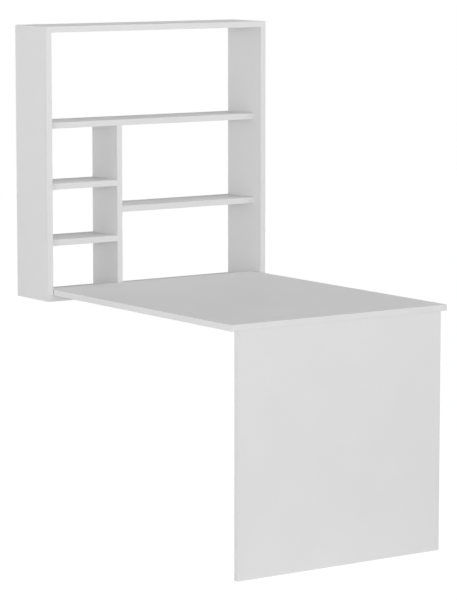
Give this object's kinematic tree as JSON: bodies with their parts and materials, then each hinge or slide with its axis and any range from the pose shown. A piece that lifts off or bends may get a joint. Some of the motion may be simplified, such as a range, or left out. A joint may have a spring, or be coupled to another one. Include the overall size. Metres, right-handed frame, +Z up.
{
  "type": "wall-mounted desk",
  "caption": "Open shelf cabinet hung on a wall, with a long desktop seated on its bottom board and carried at the far end by a panel leg.",
  "frame": {"origin": "centre of the four keyhole hanger holes, on the wall plane at the back of the cabinet", "axes": "+X to the right seen from the room, +Y into the wall, +Z up; the desktop reaches along -Y"},
  "size_m": [0.8, 1.112, 1.51],
  "materials": {
    "white_board": "white melamine-faced particle board, satin, fine pearl texture",
    "white_edging": "white edging strip, satin, rounded edges",
    "zinc_cam": "die-cast zinc, dull",
    "plated_steel": "zinc-plated",
    "bracket_steel": "zinc-plated pressed steel",
    "beech": "fluted beech, unfinished"
  },
  "bodies": {
    "root": {"angle_screws": "plated_steel", "bottom_panel": "white_board", "bottom_panel_edging": "white_edging", "cam_bolts_bottom_panel": "plated_steel", "cam_bolts_divider": "plated_steel", "cam_bolts_leg_panel": "plated_steel", "cam_bolts_long_shelf": "plated_steel", "cam_bolts_lower_left_shelf": "plated_steel", "cam_bolts_right_shelf": "plated_steel", "cam_bolts_top_panel": "plated_steel", "cam_bolts_upper_left_shelf": "plated_steel", "cam_locks_bottom_panel": "zinc_cam", "cam_locks_divider": "zinc_cam", "cam_locks_leg_panel": "zinc_cam", "cam_locks_long_shelf": "zinc_cam", "cam_locks_lower_left_shelf": "zinc_cam", "cam_locks_right_shelf": "zinc_cam", "cam_locks_top_panel": "zinc_cam", "cam_locks_upper_left_shelf": "zinc_cam", "desktop": "white_board", "desktop_edging": "white_edging", "desktop_screws": "plated_steel", "divider": "white_board", "divider_edging": "white_edging", "dowels_bottom_panel": "beech", "dowels_divider": "beech", "dowels_leg_panel": "beech", "dowels_long_shelf": "beech", "dowels_lower_left_shelf": "beech", "dowels_right_shelf": "beech", "dowels_top_panel": "beech", "dowels_upper_left_shelf": "beech", "hanger_plate_screws": "plated_steel", "hanger_plates": "bracket_steel", "leg_panel": "white_board", "leg_panel_edging": "white_edging", "long_shelf": "white_board", "long_shelf_edging": "white_edging", "lower_left_shelf": "white_board", "lower_left_shelf_edging": "white_edging", "right_shelf": "white_board", "right_shelf_edging": "white_edging", "side_panel_left": "white_board", "side_panel_left_edging": "white_edging", "side_panel_right": "white_board", "side_panel_right_edging": "white_edging", "steel_angles": "bracket_steel", "top_panel": "white_board", "top_panel_edging": "white_edging", "upper_left_shelf": "white_board", "upper_left_shelf_edging": "white_edging"}
  },
  "joints": []
}
